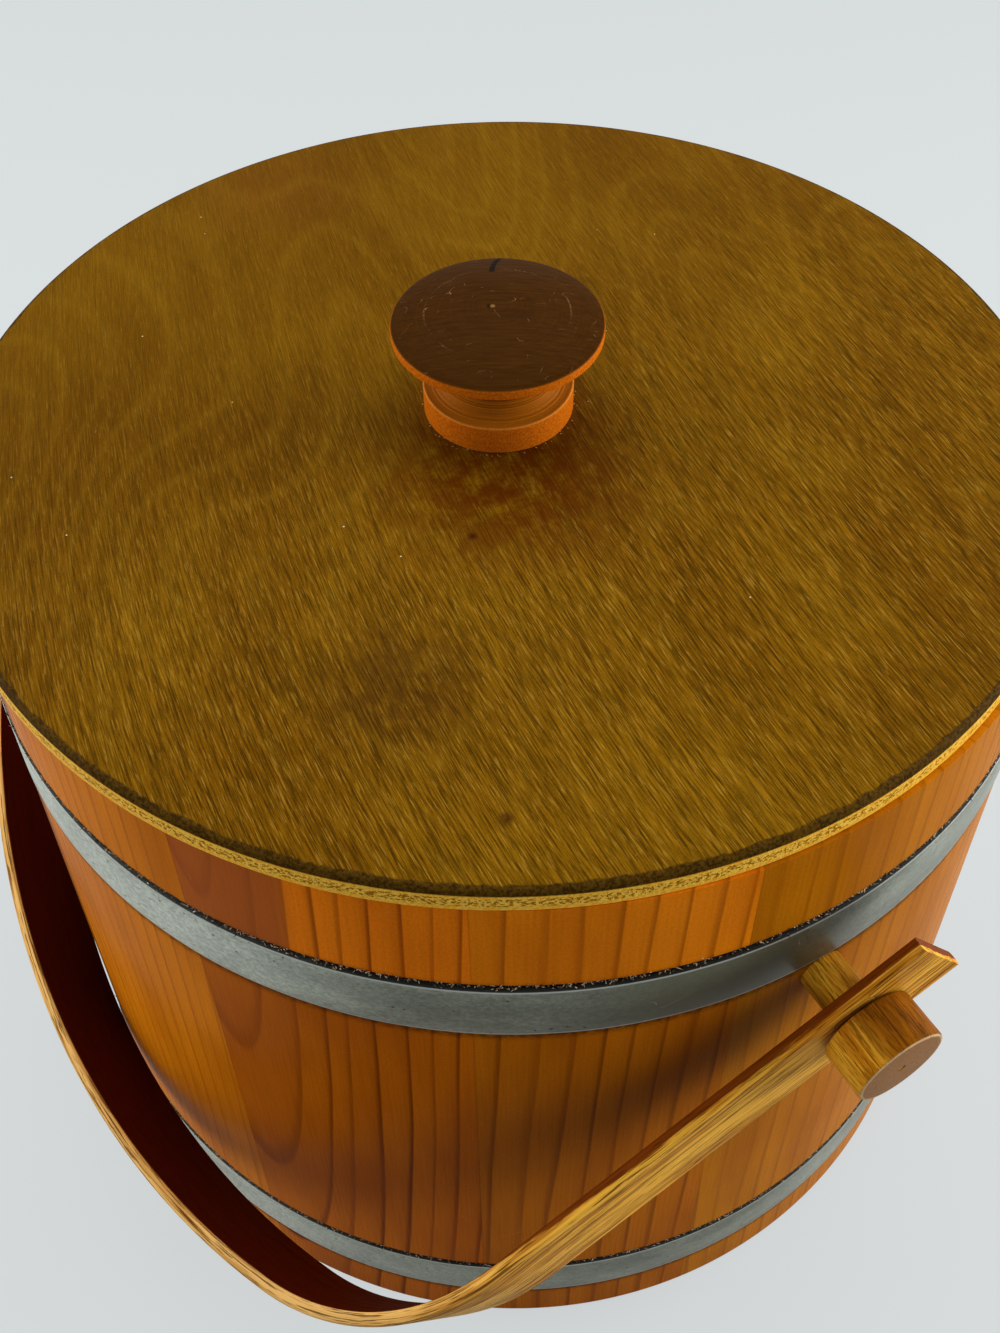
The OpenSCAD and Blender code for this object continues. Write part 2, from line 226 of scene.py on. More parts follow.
def quarter(centre, radius, start, end, steps=5):
    """Points of an arc, from one direction to another in degrees."""
    turns = [math.radians(start + (end - start) * k / steps) for k in range(steps + 1)]
    return [(centre[0] + radius * math.cos(t), centre[1] + radius * math.sin(t)) for t in turns]


def new_rule(name, **sizes):
    """An empty Geometry Nodes tree with a named input for each size."""
    tree = bpy.data.node_groups.new(name, "GeometryNodeTree")
    tree.interface.new_socket("Geometry", in_out="INPUT", socket_type="NodeSocketGeometry")
    tree.interface.new_socket("Geometry", in_out="OUTPUT", socket_type="NodeSocketGeometry")
    kinds = {float: "NodeSocketFloat", int: "NodeSocketInt", bpy.types.Material: "NodeSocketMaterial"}
    for title, value in sizes.items():
        tree.interface.new_socket(title.replace("_", " "), in_out="INPUT",
                                  socket_type=kinds[type(value)])
    bench = Bench(tree)
    return bench, bench.put("NodeGroupInput").outputs


def end_rule(bench, shape):
    """Ends a tree: its instances are made real and get the finish."""
    real = bench.put("GeometryNodeRealizeInstances", {0: shape}).outputs[0]
    dressed = bench.put("GeometryNodeSetMaterial",
                        {0: real, "Material": bench.tree.nodes["Group Input"].outputs["Finish"]})
    bench.put("NodeGroupOutput", {0: dressed.outputs[0]})


def run_rule(bench, start, **sizes):
    """Runs a tree once on a start mesh, and keeps what it makes as a plain mesh."""
    start_object = bpy.data.objects.new("start", start)
    bpy.context.scene.collection.objects.link(start_object)
    modifier = start_object.modifiers.new("rule", "NODES")
    modifier.node_group = bench.tree
    for item in bench.tree.interface.items_tree:
        title = item.name.replace(" ", "_")
        if item.in_out == "INPUT" and title in sizes:
            modifier[item.identifier] = sizes[title]
    graph = bpy.context.evaluated_depsgraph_get()
    mesh = bpy.data.meshes.new_from_object(start_object.evaluated_get(graph))
    start_object.modifiers.clear()
    bpy.data.objects.remove(start_object)
    return mesh


def wire(points, closed):
    """A start mesh of edges alone, for a section or a path in mm."""
    mesh = bpy.data.meshes.new("wire")
    edges = [(k, k + 1) for k in range(len(points) - 1)]
    if closed:
        edges.append((len(points) - 1, 0))
    mesh.from_pydata([(x * MM, y * MM, 0) for x, y in points], edges, [])
    return mesh


# %% [markdown]
# ## Sizes
# These are the same sizes that the solids were made with, in mm. The wall is a cone,
# so its radius is worked out from the height wherever it is needed.

# %% Sizes of the firkin
MOUTH_D, BASE_D, STAVE_H, STAVE_T = 269.8, 285.6, 230.5, 9.5
STAVES, FIRST_JOINT, STRAY = 14, -61.5, 1.6
HOOP_W, HOOP_T, HOOP_GROOVE, HOOP_RELIEF = 18.4, 1.3, 1.1, 2.4
HOOP_HEIGHTS = {"lower_hoop": 19.0, "upper_hoop": 181.2}
LAP_LEN, LAP_DIR = 34.0, 144.0
PEG_Z = HOOP_HEIGHTS["upper_hoop"] - 0.6 - 5.6
LID_AT, KNOB_AT, LID_Z, LID_T = (-1.0713, -1.7829), (-5.1465, -0.7668), STAVE_H + 0.02, 6.8
PHOTO_RIGHT = (0.5076, 0.8616)      # x and y of what runs to the right in the picture


def wall_r(z):
    """Radius of the wall's outer face at a height."""
    return BASE_D / 2 - (BASE_D - MOUTH_D) / 2 * z / STAVE_H


def joint_dir(i):
    """Direction of a joint between two staves, in degrees."""
    turn = math.tau * i / STAVES
    return FIRST_JOINT + math.degrees(turn) + STRAY * math.sin(3 * turn)


print("wall radius at the pegs:", round(wall_r(PEG_Z), 2), "mm")

# %% [markdown]
# ## Finishes
# A finish is a tree of nodes that ends in one shader. Colour, roughness and relief are
# worked out for each point, and whatever is the same all over is set on the shader.


# %% Start a finish
def finish(name, roughness=0.45, **sockets):
    """A new material: its bench and its Principled shader, with constants set on the shader."""
    material = bpy.data.materials.new(name)
    material.use_nodes = True
    bench = Bench(material.node_tree)
    shader = material.node_tree.nodes["Principled BSDF"]
    shader.inputs["Roughness"].default_value = roughness
    for title, value in sockets.items():
        shader.inputs[title.replace("_", " ")].default_value = value
    return material, bench, shader


def plug(bench, shader, **sockets):
    """Links what was worked out to the shader."""
    for title, value in sockets.items():
        bench.tree.links.new(value, shader.inputs[title.replace("_", " ")])


def bump(bench, shader, height, distance_mm):
    """Relief: a height of 1 stands this far out."""
    made = bench.put("ShaderNodeBump", {"Height": height, "Distance": distance_mm * MM, "Strength": 1.0})
    plug(bench, shader, Normal=made.outputs[0])


def object_mm(bench):
    """Object coordinates in mm, as one vector and as its three parts."""
    at = bench.turn("MULTIPLY", bench.put("ShaderNodeTexCoord").outputs["Object"], TO_MM)
    return at, *bench.split(at)[:3]


def fact(bench, name, kind="Vector"):
    """Something that was written on the mesh."""
    return bench.put("ShaderNodeAttribute", attribute_name=name).outputs[kind]


def shade(bench, colour, value, low, high):
    """Darkens and lightens a colour by a value from 0 to 1."""
    grey = bench.span(value, 0.0, 1.0, low, high, smooth=False)
    return bench.mix(1.0, colour, bench.join(grey, grey, grey), "MULTIPLY")


# %% [markdown]
# ### Softwood staves
# A stave shows growth rings: each goes slowly from pale spring wood to a thin dark line
# of late wood, and stops there. Wavy stripes would look printed. Rings are round the
# pith of the log, so the finish measures how far a point is from the pith, which makes
# straight lines, leaning lines and arches by itself, and on the end grain too.

# %% Stave finish
stave_finish, bench, shader = finish("stave lacquer", 0.3, Specular_IOR_Level=0.004,
                                     Specular_Tint=(1.0, 0.66, 0.34, 1.0))
here = across, depth, height = bench.split(fact(bench, "board"))[:3]
pith, pith_depth, tilt = bench.split(fact(bench, "log"))[:3]
spacing, strong, seed = bench.split(fact(bench, "rings"))[:3]
slow = bench.noise(bench.turn("ADD", bench.spread(here, 0.03, 0.03, 0.007),
                              bench.join(seed, seed, seed)), 1.0, 2.0)
side = bench.plus(bench.minus(across, pith), bench.times(slow, 2.4))
behind = bench.calc("MULTIPLY_ADD", tilt, bench.minus(height, 181.0), pith_depth)
behind = bench.minus(behind, depth)
ring_r = bench.slant(side, behind)
rings = bench.calc("DIVIDE", bench.minus(ring_r, 26.0), spacing)
uneven = bench.noise(bench.turn("ADD", bench.spread((ring_r, seed, height), 0.11, 1.0, 0.004),
                                bench.join(seed)), 1.0, 1.0)
rings = bench.plus(rings, bench.times(uneven, 0.9))
late = bench.ramp(bench.calc("FRACT", rings), [
    (0.0, 0.75), (0.05, 0.04), (0.5, 0.08), (0.8, 0.26), (0.93, 0.9), (1.0, 1.0)])
strength = bench.put("ShaderNodeTexWhiteNoise", {"W": bench.calc("FLOOR", rings)},
                     noise_dimensions="1D").outputs[0]
late = bench.times(bench.times(late, bench.span(strength, 0.0, 1.0, 0.5, 0.9)), strong)
fibre = bench.grain(here, (1.3, 1.3, 0.03), 2.0, 0.6)
cloud = bench.noise(bench.turn("ADD", bench.spread(here, 0.045, 0.045, 0.016),
                               bench.join(seed, 3.0, seed)), 1.0, 2.0)
colour = bench.mix(late, paint(194, 106, 14), paint(98, 36, 2))
colour = bench.mix(bench.span(cloud, 0.35, 0.75, 0.0, 0.6), colour, paint(156, 76, 8))
colour = shade(bench, colour, fibre, 0.86, 1.14)
grit = bench.noise(bench.spread(here, 1.0, 1.0, 0.7), 1.6, 1.0)
colour = shade(bench, colour, bench.span(grit, 0.3, 0.7), 0.94, 1.06)
# Painted light: the two boards in front are lighter above the upper hoop, to lift the shade
# under the lid there, and one of them shows purple heartwood there.
clear = bench.times(bench.span(height, 198, 204), bench.calc("GREATER_THAN", strong, 0.75))
colour = shade(bench, colour, clear, 1.0, 1.62)
heart = bench.times(bench.span(ring_r, 25.0, 21.0), bench.calc("GREATER_THAN", strong, 0.95))
heart = bench.times(heart, bench.span(height, 186, 200, 0.15, 0.75))
colour = bench.mix(heart, colour, paint(152, 80, 48))
colour = bench.mix(1.0, colour, fact(bench, "tint"), "MULTIPLY")

# %% Grime, dark grooves and wear on the staves
middle_of_hoop = [z + HOOP_W / 2 for z in HOOP_HEIGHTS.values()]
far = bench.calc("MINIMUM", *[bench.apart(height, z) for z in middle_of_hoop])
dirt = bench.grain(here, (0.6, 0.6, 0.6), 3.0)
grime = bench.times(bench.span(far, 13.2, 9.3), bench.span(dirt, 0.2, 0.7, 0.3, 0.85))
# The floor of each hoop's groove, just above the hoop, is painted near black.
groove = bench.times(bench.span(depth, 0.12, 0.45), bench.span(far, 12.2, 11.6))
joint = bench.span(fact(bench, "edge", "Fac"), 0.26, 0.06)
joint = bench.times(joint, bench.span(dirt, 0.2, 0.6, 0.0, 0.2))
dirt_and_dark_groove = bench.most(grime, bench.times(groove, 0.97))
# Only the outside gets the dirt and the dark grooves: the inner face lies a whole board's thickness deep.
dark = bench.most(bench.times(dirt_and_dark_groove, bench.span(depth, 4.0, 3.0)), joint)
colour = bench.mix(dark, colour, paint(22, 11, 4))
nick = bench.scratches(bench.spread(here, 0.03, 0.03, 0.05), 1.0, 0.0025, 0.64)
colour = bench.mix(bench.times(nick, 0.35), colour, paint(224, 160, 90))
rough = bench.plus(bench.span(fibre, 0.2, 0.8, 0.22, 0.34), bench.times(dark, 0.4))
plug(bench, shader, Base_Color=colour, Roughness=rough)
relief = bench.plus(bench.times(fibre, 0.06), bench.times(cloud, 0.6))
relief = bench.minus(relief, bench.times(late, 0.06))
bump(bench, shader, relief, 0.3)

# %% Torn fibre finish
fibre_finish, bench, shader = finish("torn fibre", 0.45)
tuft = bench.noise(object_mm(bench)[0], 0.9, 1.0)
plug(bench, shader, Base_Color=bench.mix(bench.span(tuft, 0.46, 0.56), paint(34, 16, 6),
                                         paint(220, 186, 146)))

# %% [markdown]
# ### Dull steel
# The hoops are plain grey strap, neither polished nor painted. A mirror-like metal
# would show the room. Rough metal with a mottled grey, fine pits and a few bright
# scratches keeps the soft sheen of old strap. On top of that come a painted sheen
# towards the sides, a painted reflection beside the peg and painted highlights on the
# corners.

# %% Hoop finish
hoop_finish, bench, shader = finish("hoop steel", 0.42, Metallic=0.6, Specular_IOR_Level=0.4)
at, x, y, z = object_mm(bench)
mottle = bench.noise(bench.turn("MULTIPLY", at, (0.03, 0.03, 0.09)), 1.0, 3.0, 0.6)
fine = bench.noise(bench.turn("MULTIPLY", at, (0.7, 0.7, 1.1)), 1.0, 3.0, 0.8)
colour = bench.mix(bench.span(mottle, 0.3, 0.7), paint(108, 112, 98), paint(144, 148, 132))
# Painted sheen: in the picture the strap is paler towards both sides, most of all on the left.
sideways = bench.calc("MULTIPLY_ADD", x, -PHOTO_RIGHT[0], bench.times(y, -PHOTO_RIGHT[1]))
painted_sheen = bench.most(bench.span(sideways, 10, 80), bench.span(sideways, -60, -105, 0.0, 0.34))
sheen_colour = bench.mix(bench.span(mottle, 0.3, 0.7), paint(180, 186, 174), paint(206, 212, 198))
colour = bench.mix(painted_sheen, colour, sheen_colour)
colour = shade(bench, colour, bench.span(fine, 0.3, 0.7), 0.68, 1.3)
pits = bench.spots(at, 1.6, 0.06)
colour = bench.mix(bench.times(pits, 0.8), colour, paint(30, 30, 26))
chips = bench.spots(bench.turn("ADD", at, (4.0, 9.0, 2.0)), 4.0, 0.012)
lines = bench.scratches(bench.turn("MULTIPLY", at, (0.05, 0.05, 0.12)), 1.0, 0.002, 0.6)
wear_and_corner_highlight = bench.most(bench.times(lines, 0.5), bench.times(chips, 0.8))
# Painted reflection: in the picture the strap is brown beside the peg, where it mirrors the peg and its
# shadow.
near_peg = bench.distance(at, (132.0, -26.0, 190.0))
painted_peg_reflection = bench.times(bench.span(near_peg, 42.0, 12.0), bench.span(mottle, 0.2, 0.6, 0.5, 0.8))
colour = bench.mix(painted_peg_reflection, colour, paint(86, 80, 54))
# The strap's corners get a painted highlight, added to its bright scratches and chips, and its top edge
# is painted near black.
black_top_edge = 0.0
for low_edge in HOOP_HEIGHTS.values():
    up = bench.minus(z, low_edge)
    for level in (0.3, HOOP_W - 0.35):
        off = bench.apart(up, level)
        wear_and_corner_highlight = bench.most(wear_and_corner_highlight, bench.span(off, 0.45, 0.15, 0.0, 0.75))
    top_edge = bench.times(bench.calc("GREATER_THAN", up, HOOP_W - 0.12),
                           bench.calc("LESS_THAN", up, HOOP_W + 1.0))
    black_top_edge = bench.most(top_edge, black_top_edge)
colour = bench.mix(wear_and_corner_highlight, colour, paint(190, 192, 186))
colour = bench.mix(bench.times(black_top_edge, 0.85), colour, paint(14, 11, 8))
rough = bench.most(bench.span(fine, 0.2, 0.8, 0.34, 0.48), bench.times(black_top_edge, 0.8))
plug(bench, shader, Base_Color=colour, Roughness=rough)
bump(bench, shader, bench.minus(bench.times(fine, 0.3), pits), 0.06)

# %% [markdown]
# ### Open-grained oak
# The bail and the pegs are oak, whose pores are long open dashes that run with the
# grain. The same recipe serves both, if it is told which way the grain runs: it takes
# a vector whose first part lies along the grain.


# %% Oak recipe
def oak(bench, shader, along, a, b, pale, brown, stain, open_share=0.8):
    """Colours and bumps oak from mm along the grain and mm across it, both ways."""
    here = along, a, b
    broad = bench.grain(here, (0.02, 0.14, 0.14), 2.0)
    streak = bench.grain(here, (0.024, 1.0, 1.0), 3.0, 0.75)
    pore = bench.grain(here, (0.06, 1.9, 1.9), 2.0, 0.7)
    pore = bench.span(pore, 0.45, 0.38)
    share = bench.plus(bench.times(broad, 0.5), bench.times(streak, 0.6))
    colour = bench.mix(bench.span(share, 0.42, 0.62), brown, pale)
    colour = bench.mix(bench.times(pore, open_share), colour, paint(84, 40, 6))
    colour = bench.mix(stain[0], colour, shade(bench, stain[1], streak, 0.6, 1.4))
    rough = bench.plus(bench.span(streak, 0.3, 0.7, 0.34, 0.48), bench.times(pore, 0.2))
    plug(bench, shader, Base_Color=colour, Roughness=rough)
    bump(bench, shader, bench.minus(bench.times(streak, 0.6), pore), 0.18)


# %% Bail and peg finishes
bail_finish, bench, shader = finish("bail oak", 0.4, Specular_IOR_Level=0.01,
                                    Specular_Tint=(1.0, 0.74, 0.4, 1.0))
along = bench.times(fact(bench, "along", "Fac"), 1000.0)
section_mm = bench.turn("MULTIPLY", fact(bench, "section"), TO_MM)
thick, wide = bench.split(section_mm)[:2]
# The dark stain covers the inner face, and on the right leg it has run over the edges.
ragged = bench.grain((along, thick, wide), (0.04, 0.9, 0.08), 4.0, 0.7)
over_edge = bench.calc("MULTIPLY_ADD", bench.minus(ragged, 0.5), 2.4, thick)
over_edge = bench.span(bench.minus(over_edge, bench.span(along, 75, 165, -0.7, 2.4)), 0.0, 0.4)
inner_face = bench.span(thick, 1.5, 1.7)
red = bench.mix(inner_face, paint(122, 56, 10), paint(66, 15, 2))
# The crown is greyer than the legs, as if its stain had worn away.
worn = bench.times(bench.span(along, 90, 175), bench.span(along, 560, 470))
oak(bench, shader, along, thick, wide, bench.mix(worn, paint(255, 190, 66), paint(234, 184, 106)),
    bench.mix(worn, paint(186, 114, 22), paint(176, 122, 54)),
    (bench.most(inner_face, over_edge), red))
peg_finish, bench, shader = finish("peg oak", 0.4, Specular_IOR_Level=0.03,
                                   Specular_Tint=(1.0, 0.74, 0.35, 1.0))
x, y, z = object_mm(bench)[1:]
away = bench.calc("ABSOLUTE", x)
above_middle = bench.minus(z, PEG_Z)
radius = bench.slant(y, above_middle)
end_face = bench.span(away, 164.2, 164.5)
end_tint = bench.mix(bench.span(radius, 10.2, 10.8), paint(158, 110, 64), paint(212, 176, 128))
dent = bench.times(bench.span(radius, 1.2, 0.7), end_face)
end_tint = bench.mix(dent, end_tint, paint(60, 34, 16))
# Painted shade: in the picture the upper side is dark, and here it is painted darker.
painted_top_shade = bench.grain((x, y, z), (0.1, 0.5, 0.5), 2.0)
painted_top_shade = bench.calc("MULTIPLY_ADD", bench.minus(painted_top_shade, 0.5), 6.0, above_middle)
painted_top_shade = bench.span(bench.calc("MULTIPLY_ADD", y, 0.7, painted_top_shade), 1.5, 8.5)
oak(bench, shader, bench.times(x, 2.5), bench.times(y, 1.4),
    bench.times(z, 1.4), bench.mix(painted_top_shade, paint(248, 178, 48), paint(136, 78, 6)),
    bench.mix(painted_top_shade, paint(196, 120, 18), paint(100, 54, 4)), (end_face, end_tint), open_share=0.5)

# %% [markdown]
# ### The lid's veneer
# The lid is three-ply board. Its face veneer was peeled from a log, so its figure is a
# few large faint loops, crossed by short fine pores. On the rim the three layers show,
# the middle one rough because its grain runs the other way, and the top edge is dark
# from handling.

# %% Lid finish
lid_finish, bench, shader = finish("lid veneer", 0.42, Specular_IOR_Level=0.02,
                                   Specular_Tint=(1.0, 0.75, 0.3, 1.0))
at, x, y, z = object_mm(bench)
# The peeling knife's grain isn't straight: it leans and slowly turns across the sheet.
lean = bench.calc("MULTIPLY_ADD", y, -0.00039, bench.calc("MULTIPLY_ADD", x, -0.00049, 0.1785))
lean = bench.times(x, lean)
turned_y = bench.calc("MULTIPLY_ADD", bench.calc("POWER", x, 2.0), 0.000005, 1.0)
cross = bench.calc("MULTIPLY_ADD", y, turned_y, lean)
here = x, cross, z
fine = bench.grain(here, (0.1, 2.7, 0.5), 1.0, 0.8)
dash = bench.grain(here, (0.22, 3.2, 0.5), 1.0, 0.6)
grit = bench.noise(at, 1.9, 1.0, 0.7)
streak = bench.grain(here, (0.012, 0.22, 0.0), 3.0, 0.6)
cloud = bench.grain(here, (0.012, 0.02, 0.0), 2.0)
loops = bench.grain(here, (0.0045, 0.011, 0.0), 1.0, 0.4, 0.3)
loops = bench.ramp(bench.calc("FRACT", bench.times(loops, 22.0)),
                   [(0.0, 1.0), (0.2, 0.1), (0.8, 0.0), (1.0, 1.0)])
# The pores and streaks are drawn stronger towards the front.
pores_stronger_at_front = bench.span(x, -90.0, 80.0, 0.3, 1.0)
colour = bench.mix(bench.span(cloud, 0.3, 0.7), paint(91, 57, 2), paint(104, 70, 4))
colour = shade(bench, colour, streak, 0.85, 1.15)
line_share = bench.times(bench.minus(fine, 0.5), bench.times(pores_stronger_at_front, 2.8))
line_share = bench.plus(bench.calc("MULTIPLY_ADD", grit, 0.5, -0.25), line_share)
colour = shade(bench, colour, bench.plus(line_share, 0.5), 0.5, 1.5)
colour = bench.mix(bench.times(loops, 0.1), colour, paint(150, 112, 20))
dark_dash = bench.times(bench.span(dash, 0.42, 0.28), bench.times(pores_stronger_at_front, 0.55))
colour = bench.mix(dark_dash, colour, paint(44, 24, 2))
pale_dash = bench.times(bench.span(dash, 0.57, 0.7), bench.times(pores_stronger_at_front, 0.28))
colour = bench.mix(pale_dash, colour, paint(186, 142, 50))

# %% Marks on the lid
soft = bench.noise(at, 0.16, 4.0, 0.65)
flat = bench.join(x, y)
radius = bench.distance(flat, (*LID_AT, 0.0))
from_knob = bench.distance(flat, (*KNOB_AT, 0.0))
# Each stain has a soft edge that noise breaks up: its place and size in mm, its strength and colour.
for place, size, amount, tint in (((61.4, -64.6, 0.0), 24.0, 0.6, (58, 31, 6)),
                                  ((17.0, -12.0, 0.0), 44.0, 0.9, (74, 28, 1)),
                                  ((-120.0, -9.0, 0.0), 34.0, 0.3, (112, 66, 16)),
                                  ((101.5, -61.5, 0.0), 2.6, 1.0, (52, 20, 4)),
                                  ((31.7, -29.3, 0.0), 1.8, 1.0, (52, 20, 4))):
    share = bench.span(bench.distance(flat, place), size, size * 0.15)
    share = bench.times(share, bench.span(soft, 0.3, 0.6, 0.2, 1.0))
    colour = bench.mix(bench.times(share, amount), colour, paint(*tint))
dust = bench.times(bench.spots(at, 0.9, 0.6), bench.span(from_knob, 20.4, 18.4))
crumbs = bench.spots(bench.turn("ADD", at, (5.0, 3.0, 0.0)), 1.0, 0.0008)
crumbs = bench.most(bench.times(dust, 0.65), bench.times(crumbs, 0.8))
colour = bench.mix(crumbs, colour, paint(206, 190, 150))

# %% The lid's rim
cells = bench.grain((x, y, z), (1.2, 1.2, 1.6), 2.0, 0.7)
edge = bench.calc("MULTIPLY_ADD", bench.minus(soft, 0.5), 2.0, radius)
worn = bench.times(bench.span(edge, 133.0, 133.5), bench.span(soft, 0.2, 0.6, 0.7, 1.0))
dark_rim = bench.mix(bench.span(cells, 0.35, 0.65), paint(48, 30, 6), paint(80, 56, 14))
colour = bench.mix(worn, colour, dark_rim)
gold = bench.mix(bench.span(cells, 0.3, 0.7), paint(248, 164, 18), paint(255, 210, 84))
layer_z = bench.minus(z, LID_Z)
middle_ply = bench.times(bench.span(layer_z, 1.6, 1.9), bench.span(layer_z, 4.5, 4.1))
pitted = bench.times(middle_ply, bench.span(cells, 0.48, 0.4))
gold = bench.mix(bench.times(pitted, 0.6), gold, paint(90, 48, 6))
on_rim = bench.times(bench.span(layer_z, 5.3, 4.9), bench.span(radius, 134.0, 134.4))
colour = bench.mix(on_rim, colour, gold)
plug(bench, shader, Base_Color=colour, Roughness=bench.span(dash, 0.2, 0.8, 0.4, 0.54))
grooves = bench.minus(bench.times(fine, 0.6), bench.times(pitted, 2.0))
bump(bench, shader, grooves, 0.2)

# %% [markdown]
# ### The knob
# The knob's top has gone dark brown with handling, while its sides kept an orange
# stain. One piece of wood has both, so the finish goes by height, and adds the
# turner's faint rings, a centre mark and one short crack.

# %% Knob finish
knob_finish, bench, shader = finish("knob maple", 0.36, Specular_IOR_Level=0.02,
                                    Specular_Tint=(1.0, 0.75, 0.5, 1.0))
at, x, y, z = object_mm(bench)
radius = bench.distance(bench.join(x, y), (*KNOB_AT, 0.0))
x = bench.minus(x, KNOB_AT[0])
y = bench.minus(y, KNOB_AT[1])
up = bench.minus(z, LID_Z + LID_T)
# Its grain runs from left to right in the picture.
cosine, sine = math.cos(math.radians(59.5)), math.sin(math.radians(59.5))
grain = bench.plus(bench.times(x, cosine), bench.times(y, sine))
cross = bench.minus(bench.times(y, cosine), bench.times(x, sine))
fibre = bench.grain((grain, cross, z), (0.12, 1.3, 1.3), 3.0, 0.6)
speck = bench.noise(at, 2.4, 2.0, 0.6)
turnings = bench.noise(bench.join(bench.times(radius, 1.6), up, 0.0), 1.0, 2.0)
top = bench.mix(bench.span(fibre, 0.2, 0.8), paint(50, 26, 2), paint(64, 35, 4))
top = shade(bench, top, turnings, 0.8, 1.2)
sides = bench.mix(bench.span(speck, 0.35, 0.7), paint(184, 88, 8), paint(220, 118, 20))
neck = bench.times(bench.span(up, 7.15, 7.3), bench.span(up, 21.4, 20.6))
lathe_mark = bench.noise(bench.join(0.0, 0.0, up), 2.4, 1.0)
dull = bench.mix(bench.span(lathe_mark, 0.35, 0.6), paint(112, 60, 6), paint(172, 100, 20))
sides = bench.mix(bench.times(neck, 0.85), sides, dull)
colour = bench.mix(bench.span(up, 23.8, 24.3), sides, top)
# Painted shade: a dark line under the rim, where its underside steps in over the neck.
line_z = bench.apart(up, 21.2)
colour = bench.mix(bench.times(bench.span(line_z, 0.5, 0.2), 0.7), colour, paint(40, 16, 4))
# A painted highlight along the top edge of the foot.
painted_foot_highlight = bench.times(bench.span(up, 6.6, 6.9), bench.span(up, 7.35, 7.2))
colour = bench.mix(bench.times(painted_foot_highlight, 0.35), colour, paint(232, 150, 56))
bow = bench.times(bench.calc("POWER", bench.minus(cross, 16.0), 2.0), -0.027)
crack = bench.calc("ABSOLUTE", bench.plus(bench.plus(grain, 1.4), bow))
crack = bench.times(bench.span(crack, 0.8, 0.5), bench.span(cross, 15.2, 15.8))
crack = bench.times(crack, bench.span(up, 23.6, 24.0))
colour = bench.mix(bench.times(crack, 0.9), colour, paint(14, 8, 6))
# The lathe's centre left a small dent, a little off the middle: its hollow is painted shade and one side
# a painted highlight.
for shift, share, tint in ((1.9, 0.8, paint(16, 8, 3)), (1.1, 0.5, paint(150, 110, 50))):
    off = bench.distance(bench.join(grain, cross), (-shift, 0.0, 0.0))
    dent = bench.times(bench.span(off, 0.75, 0.4), bench.span(up, 26.0, 26.5))
    colour = bench.mix(bench.times(dent, share), colour, tint)
lines = bench.scratches(bench.turn("MULTIPLY", at, (0.3, 0.22, 0.1)), 1.0, 0.006, 0.62)
turned_line_r = 17.2
turned_line = bench.span(bench.apart(radius, turned_line_r), 0.3, 0.1)
turned_line = bench.times(turned_line, bench.span(speck, 0.4, 0.65, 0.0, 0.25))
broken = bench.span(bench.noise(at, 0.09, 1.0), 0.42, 0.62)
turned_line = bench.times(turned_line, broken)
lines = bench.most(bench.times(lines, 0.5), turned_line)
colour = bench.mix(bench.times(lines, bench.span(up, 24.0, 24.5)), colour, paint(176, 132, 90))
plug(bench, shader, Base_Color=colour)
bump(bench, shader, bench.plus(bench.times(turnings, 0.5), fibre), 0.1)

# %% [markdown]
# ### Hidden wood and small metal
# The boards of the bottom, the disc under the lid and the screws are seldom seen, but
# the bucket can be opened and turned over. They keep their solids, and get a plain
# planed wood and a yellow metal.


# %% Plain wood and small metal
def planed(name, pale, dark, run):
    """Plain softwood whose grain runs along one part of the Object coordinates."""
    made, bench, shader = finish(name, 0.55, Specular_IOR_Level=0.3)
    place = object_mm(bench)[1:]
    scales = [0.5, 0.5, 0.5]
    scales[run] = 0.02
    streak = bench.grain(place, scales, 4.0, 0.6, 0.3)
    fine = bench.grain(place, [4 * s for s in scales], 2.0)
    colour = shade(bench, bench.mix(bench.span(streak, 0.35, 0.65), dark, pale), fine, 0.85, 1.12)
    plug(bench, shader, Base_Color=colour)
    bump(bench, shader, fine, 0.15)
    return made


def mottled(name, roughness, metallic, scale, dark, pale):
    """Metal with soft darker patches."""
    made, bench, shader = finish(name, roughness, Metallic=metallic)
    patches = bench.noise(object_mm(bench)[0], scale, 3.0)
    plug(bench, shader, Base_Color=bench.mix(patches, dark, pale))
    return made


bottom_finish = planed("bottom boards", paint(196, 140, 78), paint(140, 86, 36), 0)
locator_finish = planed("locator disc", paint(206, 164, 104), paint(164, 116, 60), 1)
dowel_finish = planed("dowels", paint(200, 156, 98), paint(160, 112, 58), 1)
small_metal = mottled("brass screws", 0.35, 1.0, 0.8, paint(150, 112, 50), paint(206, 168, 92))
rivet_metal = mottled("rivets", 0.38, 0.9, 0.7, paint(110, 112, 108), paint(172, 174, 170))
kept_solids = {"bottom_board": bottom_finish, "bottom_dowels": dowel_finish,
               "lid_locator": locator_finish, "locator_screws": small_metal,
               "knob_screw": small_metal, "lower_hoop_rivets": rivet_metal,
               "upper_hoop_rivets": rivet_metal}
for name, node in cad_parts.items():
    for start, made in kept_solids.items():
        if name.startswith(start):
            node.data.materials.clear()
            node.data.materials.append(made)
print("solids that keep their own shape:", sorted(kept_solids))

# %% [markdown]
# ## The wall of staves
# A cooper planes each stave to a wedge and bends the ring of them into a cone. Here
# one section of the wall is swept along a straight bar for each stave, and the bars
# are then bent round the axis. The ends of a bent bar point exactly at the axis, as
# planed joints do.

# %% Stave section
EASE, CROZE_LOW, CROZE_TOP, CROZE_DEPTH = 1.2, 9.0, 14.2, 3.2


def inner_r(z):
    """Radius of the wall's inner face at a height."""
    return wall_r(z) - STAVE_T


def hoop_seat(z):
    """The shallow groove that a hoop lies in."""
    top = z + HOOP_W + HOOP_RELIEF
    return [(wall_r(z), z), (wall_r(z) - HOOP_GROOVE, z),
            (wall_r(top) - HOOP_GROOVE, top), (wall_r(top), top)]


